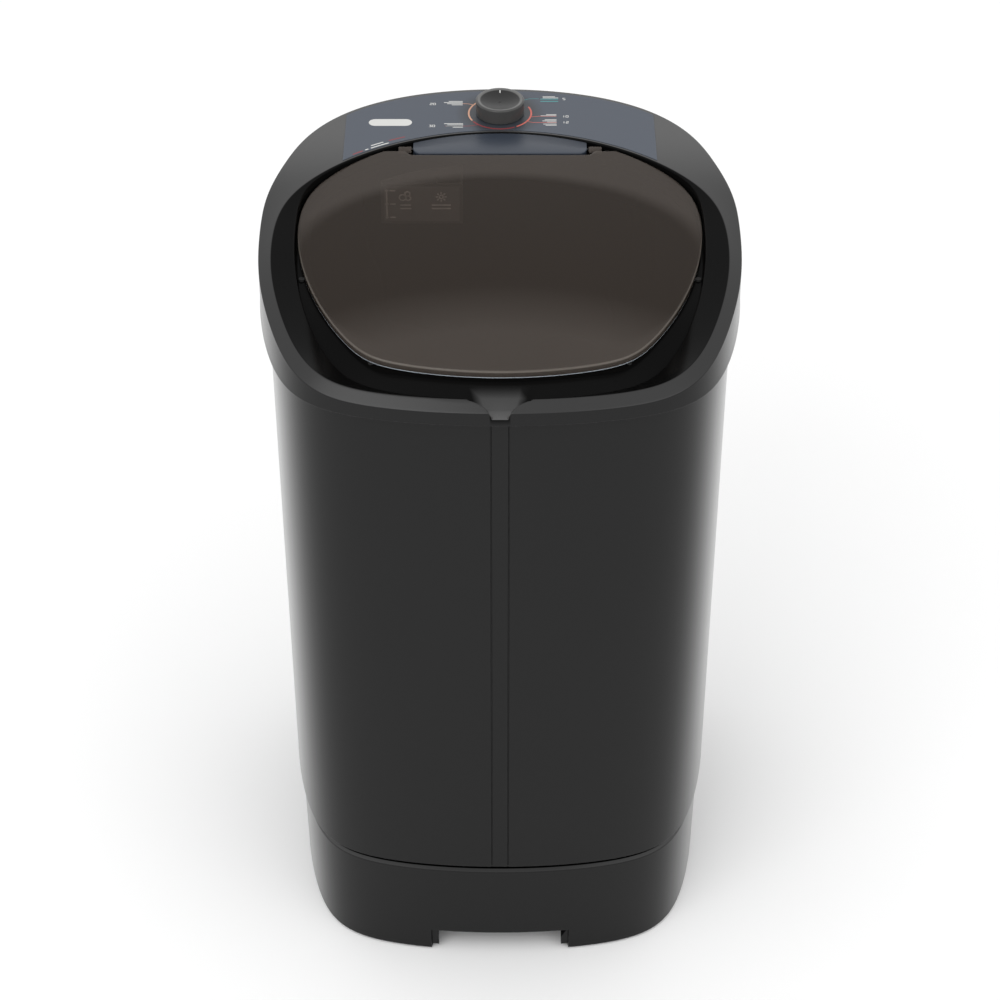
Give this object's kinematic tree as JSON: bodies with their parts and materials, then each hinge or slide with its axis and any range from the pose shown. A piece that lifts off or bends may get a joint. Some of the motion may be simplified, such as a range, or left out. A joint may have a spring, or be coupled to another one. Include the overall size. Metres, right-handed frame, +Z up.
{
  "type": "semi-automatic washing machine",
  "caption": "Rounded wash tub on a plinth with a raised rear control panel, hinged clear lid, timer knob, belt-driven agitator, drain outlet and lift-out lint filter.",
  "frame": {"origin": "on the floor under the middle of the machine", "axes": "+Z up, front of the machine towards -Y, +X to the right as seen from the front"},
  "size_m": [0.59, 0.6138, 1.0145],
  "materials": {
    "body_black": "glossy",
    "frame_black": "satin",
    "overlay_slate": "satin",
    "knob_grey": "satin",
    "smoked_lid": "smoked clear",
    "pale_plastic": "matte",
    "steel": "plain",
    "black_rubber": "matte",
    "grey_plastic": "matte",
    "bush_brass": "plain",
    "cast_alloy": "cast",
    "motor_paint": "satin",
    "stator_steel": "laminated",
    "capacitor_can": "plain"
  },
  "bodies": {
    "machine": {"base_plinth": "body_black", "tub_body": "body_black", "top_frame": "frame_black", "control_overlay": "overlay_slate", "hinge_cover": "overlay_slate", "soap_dispenser": "pale_plastic", "lid_hinge_pins": "steel", "lid_bumpers": "black_rubber", "timer_body": "grey_plastic", "timer_screws": "steel", "dosing_scale": "pale_plastic", "shaft_seal": "black_rubber", "upper_bush": "bush_brass", "lower_bush": "bush_brass", "bearing_housing": "cast_alloy", "bearing_screws": "steel", "drive_belt": "black_rubber", "motor_housing": "motor_paint", "motor_stator": "stator_steel", "motor_bolts": "steel", "motor_bracket": "motor_paint", "bracket_screws": "steel", "capacitor": "capacitor_can", "capacitor_clip": "steel", "wiring_harness": "black_rubber", "cable_duct": "body_black", "cord_gland": "black_rubber", "drain_elbow": "grey_plastic", "drain_nut": "grey_plastic", "drain_grate": "pale_plastic", "filter_holder": "pale_plastic", "rubber_feet": "black_rubber", "frame_screws": "steel", "base_screws": "steel"},
    "lid": {"lid": "smoked_lid"},
    "timer": {"timer_knob": "knob_grey", "timer_shaft": "steel"},
    "agitator": {"agitator": "grey_plastic", "agitator_bolt": "steel", "agitator_cap": "grey_plastic", "agitator_shaft": "steel", "drive_pulley": "grey_plastic", "pulley_nut": "steel"},
    "rotor": {"motor_rotor": "steel", "motor_pulley": "cast_alloy"},
    "filter": {"lint_filter": "pale_plastic"}
  },
  "joints": [
    {"name": "lid_hinge", "type": "hinge", "parent": "machine", "child": "lid", "pos_m": [0, 0.15501, 0.9875], "axis": [-1, 0, 0], "range_deg": [0, 100]},
    {"name": "timer_turn", "type": "hinge", "parent": "machine", "child": "timer", "pos_m": [0, 0.23481, 0.9935], "axis": [0, 0, 1], "range_deg": [-315, 0]},
    {"name": "agitator_spin", "type": "hinge", "parent": "machine", "child": "agitator", "pos_m": [0, 0, 0.23], "axis": [0, 0, 1], "continuous": true},
    {"name": "motor_spin", "type": "hinge", "parent": "machine", "child": "rotor", "pos_m": [0, 0.19, 0.15], "axis": [0, 0, 1], "continuous": true},
    {"name": "filter_lift", "type": "slide", "parent": "machine", "child": "filter", "axis": [0, 0, 1], "range_m": [0, 0.16]}
  ],
  "couplings": [
    {"joint": "motor_spin", "follows": "agitator_spin", "ratio": 5.8113}
  ]
}
